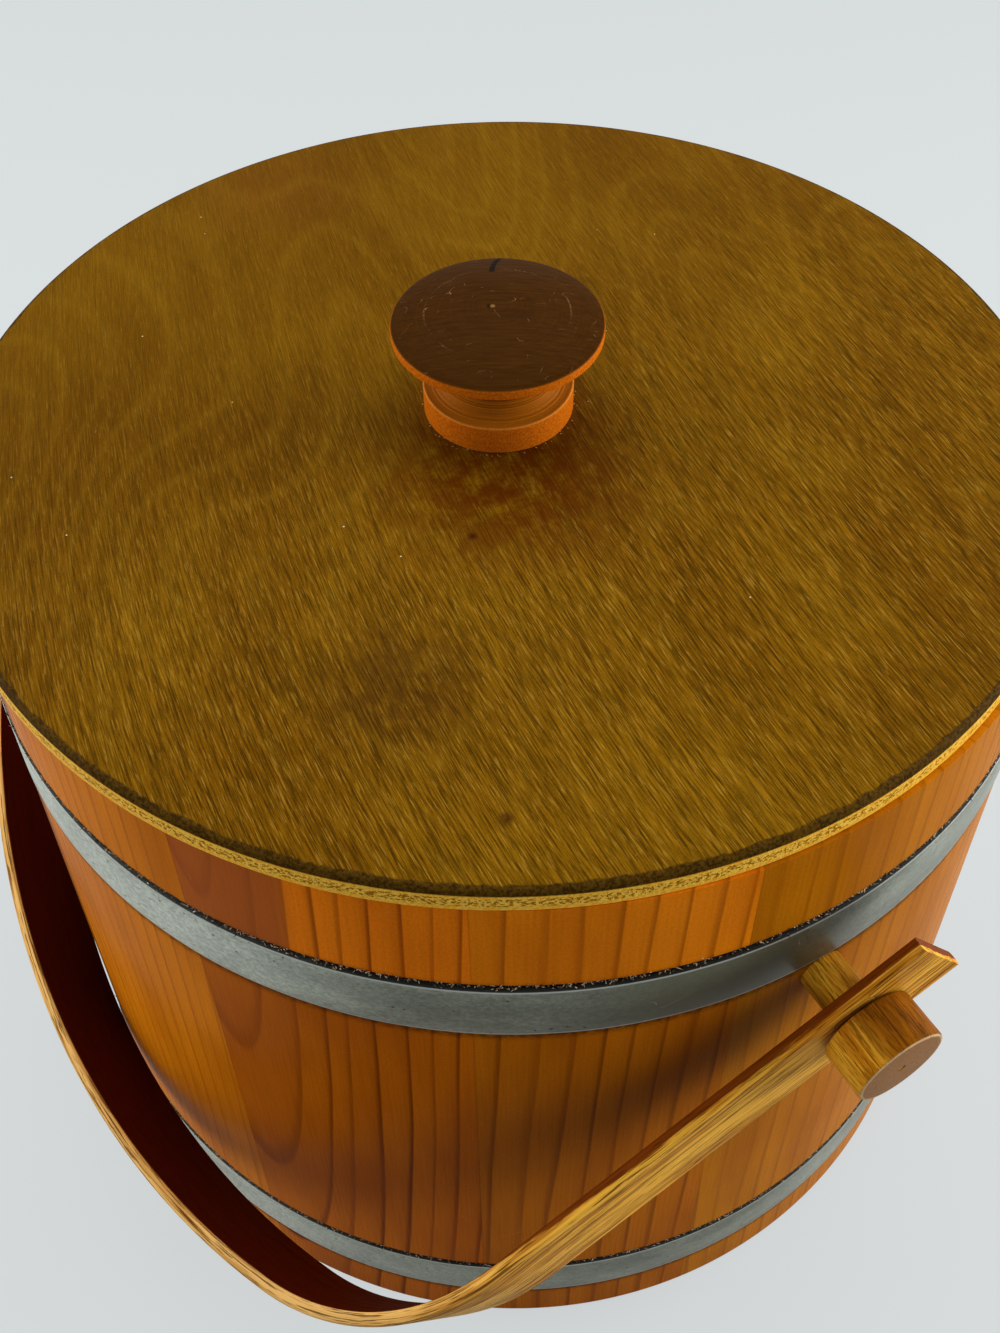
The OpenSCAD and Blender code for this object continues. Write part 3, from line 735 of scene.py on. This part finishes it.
section = ([(inner_r(0) + EASE, 0), (wall_r(0) - EASE, 0), (wall_r(EASE), EASE)]
           + hoop_seat(HOOP_HEIGHTS["lower_hoop"]) + hoop_seat(HOOP_HEIGHTS["upper_hoop"])
           + [(wall_r(STAVE_H), STAVE_H), (inner_r(STAVE_H), STAVE_H),
              (inner_r(CROZE_TOP), CROZE_TOP), (inner_r(CROZE_TOP) + CROZE_DEPTH, CROZE_TOP),
              (inner_r(CROZE_LOW) + CROZE_DEPTH, CROZE_LOW), (inner_r(CROZE_LOW), CROZE_LOW),
              (inner_r(EASE), EASE)])


# %% Steps that several rules share
def rod(bench, steps):
    """A straight path along X, 1 long."""
    line = bench.shape("MeshLine", {"Count": steps, "Offset": (1, 0, 0)}, mode="END_POINTS")
    return bench.shape("MeshToCurve", {0: line})


def sweep(bench, path, section):
    """Carries a section along a path, always upright."""
    path = bench.shape("SetCurveNormal", {0: path}, mode="Z_UP")
    return bench.shape("CurveToMesh", {0: path, 1: section, "Fill Caps": True})


def bend(bench, shape, radius, turn, height):
    """Puts each point of a shape at its radius and direction round the axis."""
    x = bench.times(radius, bench.calc("COSINE", turn))
    y = bench.times(radius, bench.calc("SINE", turn))
    return bench.shape("SetPosition", {0: shape, "Position": bench.join(x, y, height)})


def bore(bench, shape, radius, height):
    """Drills along X at a height, right through."""
    drill = bench.shape("MeshCylinder", {"Vertices": 64, "Radius": radius, "Depth": 0.5})
    drill = bench.shape("Transform", {0: drill, "Rotation": (0, math.radians(90), 0),
                                      "Translation": bench.join(z=height)})
    return bench.shape("MeshBoolean", {0: shape, 1: drill}, operation="DIFFERENCE")


# %% Stave rule
bench, given = new_rule("wall of staves", Staves=1, Steps=1, First_joint=1.0, Stray=1.0,
                        Joint_gap=1.0, Peg_height=1.0, Shank=1.0, Finish=stave_finish)
# A straight bar for each stave, 1 long, laid end to end along X.
bars = bench.put("GeometryNodeDuplicateElements", {0: rod(bench, given["Steps"]),
                                                   "Amount": given["Staves"]}, domain="SPLINE")
gap = given["Joint gap"]
along = bench.split(bench.shape("InputPosition"))[0]
along = bench.plus(bench.times(along, bench.minus(1.0, gap)), bench.times(gap, 0.5))
along = bench.plus(along, bars.outputs["Duplicate Index"])
bars = bench.shape("SetPosition", {0: bars.outputs[0], "Position": bench.join(along)})
swept = sweep(bench, bars, bench.shape("MeshToCurve", {0: given["Geometry"]}))

# X becomes the direction round the axis, Y the radius and Z the height.
x, y, z = bench.split(bench.shape("InputPosition"))[:3]
turn = bench.calc("DIVIDE", bench.times(x, math.tau), given["Staves"])
stray = bench.times(bench.calc("SINE", bench.times(turn, 3.0)), given["Stray"])
turn = bench.plus(turn, bench.calc("RADIANS", bench.plus(stray, given["First joint"])))
bent = bend(bench, swept, bench.calc("ABSOLUTE", y), turn, bench.calc("ABSOLUTE", z))
end_rule(bench, bore(bench, bent, given["Shank"], given["Peg height"]))

# %% Sweep the staves and keep them
mesh = run_rule(bench, wire(section, True), Staves=STAVES, Steps=17,
                First_joint=FIRST_JOINT, Stray=STRAY, Joint_gap=0.0003, Peg_height=PEG_Z * MM,
                Shank=5.7 * MM, Finish=stave_finish)
stave_names = [f"stave_{i:02d}" for i in range(1, STAVES + 1)]
wall = keep("stave_wall", mesh, "bucket", stave_finish, stave_names)

# %% [markdown]
# The wood of each stave needs to know where on its own board it lies. That is written
# on the mesh: how far across the board from its middle, how deep under its face and how
# high, in mm, with the board's own place in the log.


# %% Write the board coordinates on the wall
def corner_values(mesh):
    """Position of each face corner and the middle of its face, in mm."""
    place = np.array([v.co for v in mesh.vertices]) / MM
    corner = np.array([loop.vertex_index for loop in mesh.loops])
    middle = np.repeat(np.array([p.center for p in mesh.polygons]) / MM,
                       [p.loop_total for p in mesh.polygons], axis=0)
    return place[corner], middle


place, middle = corner_values(wall.data)
joints = np.array([joint_dir(i) for i in range(STAVES + 1)])
facing = np.degrees(np.arctan2(middle[:, 1], middle[:, 0]))
facing = (facing - FIRST_JOINT) % 360 + FIRST_JOINT
board = np.searchsorted(joints, facing) - 1
centre = (joints[board] + joints[board + 1]) / 2
off = (np.degrees(np.arctan2(place[:, 1], place[:, 0])) - centre + 180) % 360 - 180
radius = np.hypot(place[:, 0], place[:, 1])
face_r = wall_r(place[:, 2])
coordinates = np.stack([np.radians(off) * face_r, face_r - radius, place[:, 2]], 1)
print("boards found:", sorted(set(board.tolist())))


def write(mesh, name, kind, values):
    """Writes one value for each face corner."""
    layer = mesh.attributes.new(name, kind, "CORNER")
    key = "value" if kind == "FLOAT" else "vector"
    layer.data.foreach_set(key, np.asarray(values, np.float32).ravel())


# %% [markdown]
# Each stave was sawn from its own place in a log. Where the pith lay close behind its
# face the rings make arches, and where it lay far to one side they make straight
# lines. The boards that the picture shows best are listed one by one, and the rest follow
# from a seeded draw.

# %% Where each stave lay in the log
draw = random.Random(7)
log = [[-25.6, 13.9, -0.094], [-62.0, 30.0, -0.045],    # pith across, pith depth, tilt
       [-70.0, 26.0, 0.02], [62.0, 30.0, -0.03]]
rings = [[5.9, 1.0, 2.0], [6.6, 0.8, 5.0],              # spacing, darkness, seed
         [6.4, 0.5, 11.0], [5.6, 0.4, 17.0]]
# What multiplies the stain's colour on each board.
tint = [[1.02, 0.92, 0.6], [0.98, 1.0, 0.6], [0.98, 1.18, 0.7], [0.98, 1.2, 0.8]]
while len(log) < STAVES - 1:
    log.append([draw.choice((-1, 1)) * draw.uniform(20, 80), draw.uniform(12, 40),
                draw.uniform(-0.06, 0.06)])
    rings.append([draw.uniform(4.5, 7.0), draw.uniform(0.4, 0.74), draw.uniform(0, 40)])
    shade_of_board = draw.uniform(0.52, 0.7)    # dark enough for the back not to look too bright
    tint.append([shade_of_board, shade_of_board * 1.05, shade_of_board])
log.append([70.0, 20.0, 0.03])
rings.append([4.4, 0.5, 9.0])
tint.append([1.3, 1.4, 1.1])
write(wall.data, "board", "FLOAT_VECTOR", coordinates)
for name, values in (("log", log), ("rings", rings), ("tint", tint)):
    write(wall.data, name, "FLOAT_VECTOR", np.array(values)[board])
half_board = np.radians(joints[board + 1] - joints[board]) / 2 * face_r
write(wall.data, "edge", "FLOAT", half_board - np.abs(coordinates[:, 0]))

# %% [markdown]
# ## The hoops
# Each hoop is a strap that runs once round, with its end riveted over its start. Two
# nested rings would look stacked, so the strap is swept as one spiral: it steps out by
# its own thickness just before the lap. A little noise on the radius gives the small
# waves of a strap that was hammered down a cone.

# %% Hoop rule
bench, given = new_rule("hoop", Steps=1, Start=1.0, Overlap=1.0, Step_out=1.0, Wave=1.0,
                        Finish=hoop_finish)
profile = bench.shape("MeshToCurve", {0: given["Geometry"]})
swept = sweep(bench, rod(bench, given["Steps"]), profile)
x, y, z = bench.split(bench.shape("InputPosition"))[:3]
height = bench.calc("ABSOLUTE", z)
degrees = bench.times(x, bench.plus(given["Overlap"], 360.0))
turn = bench.calc("RADIANS", bench.plus(degrees, given["Start"]))
stepped = bench.times(bench.span(degrees, 356.5, 360.0), given["Step out"])
around = bench.join(bench.calc("COSINE", turn), bench.calc("SINE", turn), bench.times(height, 12.0))
wave = bench.times(bench.minus(bench.noise(around, 3.5), 0.5), given["Wave"])
radius = bench.plus(bench.plus(bench.calc("ABSOLUTE", y), stepped), wave)
end_rule(bench, bend(bench, swept, radius, turn, height))



# %% Sweep both hoops
def strap_section(z):
    """The strap's section, leaning with the wall, its edges slightly rounded."""
    inner, ease = -HOOP_GROOVE + 0.1, 0.3
    rounded = (quarter((HOOP_T - ease, ease), ease, -90, 0, 3)
               + quarter((HOOP_T - ease, HOOP_W - ease), ease, 0, 90, 3)
               + [(0, HOOP_W), (0, 0)])
    return [(wall_r(z + up) + inner + out, z + up) for out, up in rounded]


overlap = math.degrees(LAP_LEN / wall_r(HOOP_HEIGHTS["upper_hoop"]))
for name, height in HOOP_HEIGHTS.items():
    mesh = run_rule(bench, wire(strap_section(height), True), Steps=361,
                    Start=LAP_DIR - overlap / 2, Overlap=overlap, Step_out=HOOP_T * MM,
                    Wave=0.25 * MM, Finish=hoop_finish)
    keep(name + "_strap", mesh, "bucket", hoop_finish, [name], sharp=20)

# %% [markdown]
# ## Torn fibres in the grooves
# The saw that cut each hoop's groove left it open just above the hoop, with torn ends
# of wood along its lip. Thousands of short spikes make that fringe. They are instances
# on the points of a circle, each turned and scaled by chance with a fixed seed.

# %% Fibre rule
bench, given = new_rule("torn fibres", Count=1, Radius=1.0, Height=1.0, Length=1.0, Seed=1,
                        Finish=stave_finish)
ring = bench.shape("MeshCircle", {"Vertices": given["Count"], "Radius": given["Radius"]})
index = bench.shape("InputIndex")


def chance(low, high, extra, kind="FLOAT"):
    """A random value for each fibre. The vector kind has its sockets first, the float kind after."""
    places = (0, 1) if kind == "FLOAT_VECTOR" else (2, 3)
    made = bench.put("FunctionNodeRandomValue", {places[0]: low, places[1]: high, 7: index,
                                                 8: bench.plus(given["Seed"], extra)}, data_type=kind)
    return made.outputs[0 if kind == "FLOAT_VECTOR" else 1]


jitter = chance((-0.0005, -0.0005, -0.0022), (0.0005, 0.0005, 0.0001), 1.0, "FLOAT_VECTOR")
lift = bench.join(z=given["Height"])
points = bench.shape("SetPosition", {0: ring, "Offset": bench.turn("ADD", lift, jitter)})
fibre = bench.shape("MeshCone", {"Vertices": 3, "Radius Bottom": 0.17 * MM, "Radius Top": 0.03 * MM,
                                 "Depth": 1.2 * MM}, fill_type="NONE")
tilt = chance((-1.2, -1.2, 0.0), (1.2, 1.2, 6.28), 2.0, "FLOAT_VECTOR")
size = bench.times(chance(0.4, 1.5, 3.0), given["Length"])
end_rule(bench, bench.shape("InstanceOnPoints", {0: points, "Instance": fibre, "Rotation": tilt,
                                                 "Scale": bench.join(1.0, 1.0, size)}))
for number, (name, height) in enumerate(HOOP_HEIGHTS.items()):
    top = height + HOOP_W + HOOP_RELIEF
    mesh = run_rule(bench, wire([(0, 0)], False), Count=3400, Radius=(wall_r(top) - 0.4) * MM,
                    Height=top * MM, Length=1.0, Seed=11 + number, Finish=fibre_finish)
    keep(name + "_fibres", mesh, "bucket", fibre_finish, [])

# %% [markdown]
# ## The bail
# The bail is one thin strip of oak, steamed and bent to a leg, a corner and a crown.
# The path is drawn flat from straight runs and arcs, the strip is swept along it, and
# the whole is then leaned to where it rests. Sweeping also carries two facts to the
# mesh that the finish needs: how far along the strip a point is, and where in its
# section.

# %% Bail path
BAIL_W, BAIL_T, BAIL_LEAN, BAIL_END = 28.4, 3.5, 53.5736, 22.5
CORNER_R, CROWN_R, TOE, BEND_TURN = 70.0, 225.0, 3.342, 61.579
corner_at, crown_at, leg_reach = (73.771, -98.501), (0.0, 37.818), 102.581
leg_top = leg_reach / math.cos(math.radians(TOE)) + BAIL_END
start = Vector((corner_at[0] + CORNER_R * math.cos(math.radians(-TOE)),
                corner_at[1] + CORNER_R * math.sin(math.radians(-TOE))))
end = start + leg_top * Vector((math.sin(math.radians(TOE)), math.cos(math.radians(TOE))))
leg = [tuple(end.lerp(start, k / 24)) for k in range(24)]
half = (leg + quarter(corner_at, CORNER_R, -TOE, -BEND_TURN, 32)[:-1]
        + quarter(crown_at, CROWN_R, -BEND_TURN, -90, 16))
bail_path = half + [(-x, y) for x, y in reversed(half[:-1])]
print("bail path:", len(bail_path), "points, lowest at", round(min(y for x, y in bail_path), 1))

# %% Bail rule
bench, given = new_rule("bent strip", Width=1.0, Thickness=1.0, Round=1.0, Lean=1.0,
                        Peg_height=1.0, Bore=1.0, Finish=bail_finish)
path = bench.shape("MeshToCurve", {0: given["Geometry"]})
run = bench.put("GeometryNodeSplineParameter").outputs["Length"]
path = bench.shape("StoreNamedAttribute", {0: path, "Name": "along", "Value": run},
                   data_type="FLOAT", domain="POINT")
outline = bench.shape("CurvePrimitiveQuadrilateral",
                      {"Width": given["Thickness"], "Height": given["Width"]})
outline = bench.shape("FilletCurve", {0: outline, "Count": 3, "Radius": given["Round"],
                                      "Limit Radius": True}, mode="POLY")
outline = bench.shape("StoreNamedAttribute", {0: outline, "Name": "section",
                                              "Value": bench.shape("InputPosition")},
                      data_type="FLOAT_VECTOR", domain="POINT")
slope = bench.calc("RADIANS", bench.minus(90.0, given["Lean"]))
leaned = bench.shape("Transform", {0: sweep(bench, path, outline), "Rotation": bench.join(slope),
                                   "Translation": bench.join(z=given["Peg height"])})
end_rule(bench, bore(bench, leaned, given["Bore"], given["Peg height"]))

# %% Bend the bail
mesh = run_rule(bench, wire(bail_path, False), Width=BAIL_W * MM, Thickness=BAIL_T * MM,
                Round=1.2 * MM, Lean=BAIL_LEAN, Peg_height=PEG_Z * MM, Bore=5.68 * MM,
                Finish=bail_finish)
print("bail facts:", [a.name for a in mesh.attributes])
keep("bent_bail", mesh, "bail", bail_finish, ["bail"], sharp=15)

# %% [markdown]
# ## Turned pieces
# The pegs, the lid and the knob are all round about one axis, so each is a half outline
# spun round it. A turner's marks, such as the grooves in the knob's neck, are corners
# of that outline.

# %% Pegs
TIP_X, HEAD_X, SHANK_R, HEAD_R, HEAD_LEN = 128.302, 152.365, 5.6, 11.3, 12.2
neck = HEAD_X - TIP_X
end = neck + HEAD_LEN
outline = ([(0, 0), (SHANK_R, 0), (SHANK_R, neck)]
           + quarter((HEAD_R - 0.7, neck + 0.7), 0.7, -90, 0, 4)
           + quarter((HEAD_R - 0.7, end - 0.7), 0.7, 0, 90, 4)
           + [(1.0, end), (0.5, end - 0.5), (0, end - 0.7)])
for name, side in (("right_peg", 1), ("left_peg", -1)):
    mesh = turned(outline, 96)
    lay = Matrix.Rotation(math.radians(90 * side), 4, "Y")
    mesh.transform(Matrix.Translation((side * TIP_X * MM, 0, PEG_Z * MM)) @ lay)
    keep(name + "_turned", mesh, "bucket", peg_finish, [name])

# %% Lid and knob
LID_R, LID_ROUND = 135.0, 2.2
LID_TOP = LID_Z + LID_T
outline = ([(0, LID_Z), (LID_R - 0.4, LID_Z), (LID_R, LID_Z + 0.4)]
           + quarter((LID_R - LID_ROUND, LID_TOP - LID_ROUND), LID_ROUND, 0, 90, 8)
           + [(r, LID_TOP) for r in (120, 90, 60, 30)] + [(0, LID_TOP)])
mesh = turned(outline, 288)
mesh.transform(Matrix.Translation((LID_AT[0] * MM, LID_AT[1] * MM, 0)))
keep("lid_veneer", mesh, "lid", lid_finish, ["lid_board"])

FOOT_R, FOOT_H, NECK_R, RIM_R, RIM_LOW, KNOB_H, BEAD = 18.4, 6.2, 13.5, 25.25, 21.4, 28.7, 1.1
KNOB_DOME = 4.4
cove_z, cove_h = FOOT_H + BEAD, RIM_LOW - FOOT_H - 2 * BEAD
outline = [(0, 0), (FOOT_R, 0)] + quarter((FOOT_R - 0.5, cove_z - 0.5), 0.5, 0, 90, 4)
for k in range(61):
    turn = math.pi * k / 60
    width = FOOT_R - 0.7 if k < 30 else RIM_R - 3 * BEAD
    lathe_line = 0.22 if k in (4, 5, 8, 9, 12, 13, 50, 51) else 0.0
    outline.append((NECK_R + (width - NECK_R) * (1 - math.sin(turn)) - lathe_line,
                    cove_z + cove_h * (1 - math.cos(turn)) / 2))
outline += [(RIM_R - 2 * BEAD, RIM_LOW), (RIM_R - BEAD / 2, RIM_LOW), (RIM_R, RIM_LOW + BEAD / 2)]
outline += quarter((RIM_R - BEAD / 2, KNOB_H - KNOB_DOME - BEAD / 2), BEAD / 2, 0, 70, 4)
outline += [(RIM_R * k / 20, KNOB_H - KNOB_DOME * (k / 20) ** 2) for k in range(19, 0, -1)]
outline += [(0, KNOB_H)]
mesh = turned([(r, LID_TOP + h) for r, h in outline], 144)
mesh.transform(Matrix.Translation((KNOB_AT[0] * MM, KNOB_AT[1] * MM, 0)))
keep("turned_knob", mesh, "lid", knob_finish, ["knob"])

# %% [markdown]
# ## Floor, light and camera
# The picture was taken on a pale grey table under soft daylight. A faint world stands for
# the room, and three broad lamps for a window on each side and a pale ceiling.

# %% Stage
bpy.ops.mesh.primitive_plane_add(size=24)
floor = bpy.context.object
floor.name = "floor"
floor_finish, bench, shader = finish("pale floor", 0.6)
shader.inputs["Base Color"].default_value = paint(170, 174, 173)
# What the camera and the gloss see of the floor is partly its own pale light, so the
# table stays pale near the bucket and still keeps a soft shadow.
seen = bench.put("ShaderNodeLightPath").outputs
seen = bench.most(seen["Is Camera Ray"], bench.times(seen["Is Glossy Ray"], 0.4))
glow = bench.put("ShaderNodeEmission", {"Color": paint(218, 223, 224), "Strength": 1.08}).outputs[0]
both = bench.put("ShaderNodeMixShader", {0: bench.times(seen, 0.72),
                                         1: shader.outputs[0], 2: glow}).outputs[0]
bench.tree.links.new(both, floor_finish.node_tree.nodes["Material Output"].inputs[0])
floor.data.materials.append(floor_finish)

scene = bpy.context.scene
scene.view_settings.view_transform = "Standard"
world = bpy.data.worlds.new("soft daylight")
world.use_nodes = True
scene.world = world
daylight = world.node_tree.nodes["Background"]
daylight.inputs["Color"].default_value = (0.96, 0.98, 1.0, 1.0)
daylight.inputs["Strength"].default_value = 0.35
# The camera sees a pale wall beyond the table, which gives the object no light of its own.
bench = Bench(world.node_tree)
pale_wall = bench.put("ShaderNodeBackground", {"Color": paint(206, 211, 212), "Strength": 1.0}).outputs[0]
behind = bench.put("ShaderNodeMixShader", {0: bench.put("ShaderNodeLightPath").outputs["Is Camera Ray"],
                                           1: daylight.outputs[0],
                                           2: pale_wall}).outputs[0]
bench.tree.links.new(behind, world.node_tree.nodes["World Output"].inputs[0])


def lamp(name, place, size, power, aim=(0, 0, 0.12)):
    """A soft square lamp that faces the aim."""
    light = bpy.data.lights.new(name, "AREA")
    light.size, light.energy = size, power
    made = bpy.data.objects.new(name, light)
    scene.collection.objects.link(made)
    made.location = place
    made.rotation_euler = (Vector(aim) - Vector(place)).to_track_quat("-Z", "Y").to_euler()


right = Vector((*PHOTO_RIGHT, 0))
away = Vector((-PHOTO_RIGHT[1], PHOTO_RIGHT[0], 0))
lamp("right window", right * 0.95 + away * 0.1 + Vector((0, 0, 0.5)), 0.9, 12.5)
lamp("left window", -right * 0.95 + away * 0.2 + Vector((0, 0, 0.55)), 0.9, 8)
lamp("ceiling", away * 0.35 + Vector((0, 0, 1.25)), 1.2, 9)

camera = bpy.data.objects.new("camera", bpy.data.cameras.new("camera"))
scene.collection.objects.link(camera)
place, aim, roll = Vector((0.23565, -0.13881, 0.4725)), Vector((0.06791, -0.04316, 0.2373)), -0.856
turn = (aim - place).to_track_quat("-Z", "Y").to_matrix().to_4x4()
camera.matrix_world = (Matrix.Translation(place) @ turn @ Matrix.Rotation(math.radians(roll), 4, "Z"))
camera.data.lens = 39.16
camera.data.clip_start = 0.01
scene.camera = camera

# %% Done
print("scene built")
